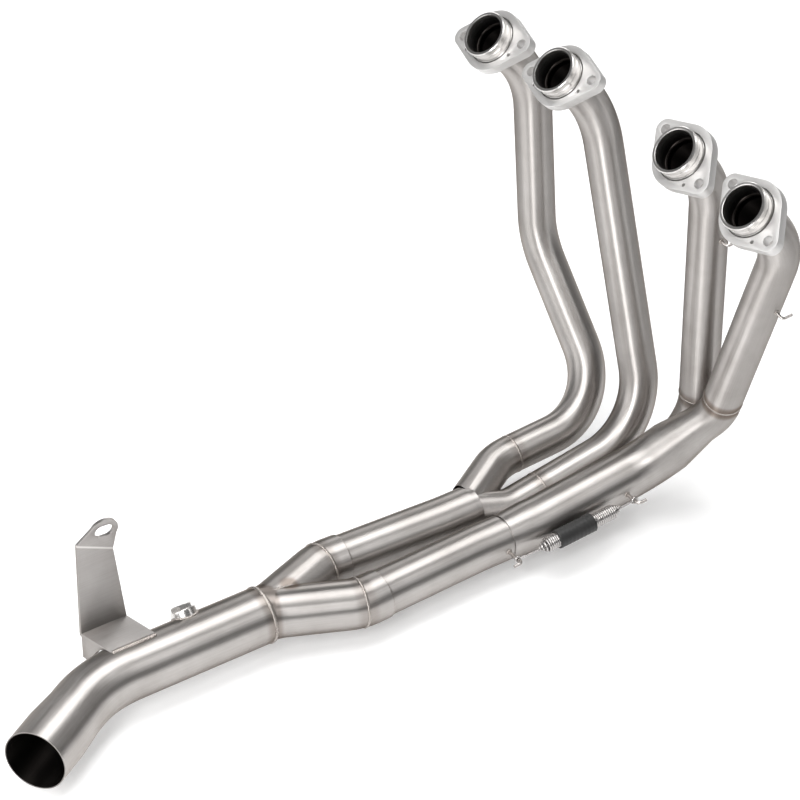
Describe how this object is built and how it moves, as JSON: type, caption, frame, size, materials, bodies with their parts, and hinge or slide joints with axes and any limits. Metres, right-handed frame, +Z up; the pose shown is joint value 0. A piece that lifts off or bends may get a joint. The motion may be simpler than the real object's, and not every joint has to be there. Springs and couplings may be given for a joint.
{
  "type": "motorcycle exhaust header",
  "caption": "Stainless motorcycle exhaust header: bent primaries from slanted port flanges pair up, join in a collector and end in a link pipe with a hanger bracket.",
  "frame": {"origin": "middle of the port row, on the engine face of the flanges", "axes": "+X to the rider's right, +Y forward, +Z up, as fitted to the motorcycle"},
  "size_m": [0.4214, 0.7035, 0.4029],
  "materials": {
    "tube_steel": "satin stainless tube",
    "flange_steel": "pale blasted stainless plate",
    "sleeve_steel": "turned stainless with fine rings",
    "bracket_steel": "matt grey stainless sheet",
    "boss_steel": "turned stainless",
    "spring_steel": "drawn spring wire",
    "wire_steel": "welded stainless wire",
    "spring_rubber": "matt black silicone"
  },
  "bodies": {
    "root": {"primary_tube_1": "tube_steel", "primary_tube_2": "tube_steel", "primary_tube_3": "tube_steel", "primary_tube_4": "tube_steel", "merge_collector_left": "tube_steel", "merge_collector_right": "tube_steel", "secondary_tube_left": "tube_steel", "secondary_tube_right": "tube_steel", "final_collector": "tube_steel", "link_pipe": "tube_steel", "flange_1": "flange_steel", "flange_2": "flange_steel", "flange_3": "flange_steel", "flange_4": "flange_steel", "port_sleeve_1": "sleeve_steel", "port_sleeve_2": "sleeve_steel", "port_sleeve_3": "sleeve_steel", "port_sleeve_4": "sleeve_steel", "hanger_bracket": "bracket_steel", "sensor_boss": "boss_steel", "sensor_plug": "boss_steel", "spring_right": "spring_steel", "spring_left": "spring_steel", "spring_hook_right_front": "wire_steel", "spring_hook_right_rear": "wire_steel", "spring_hook_left_front": "wire_steel", "spring_hook_left_rear": "wire_steel", "tube_hook_3": "wire_steel", "tube_hook_4": "wire_steel", "spring_sleeve_right": "spring_rubber", "spring_sleeve_left": "spring_rubber"}
  },
  "joints": []
}
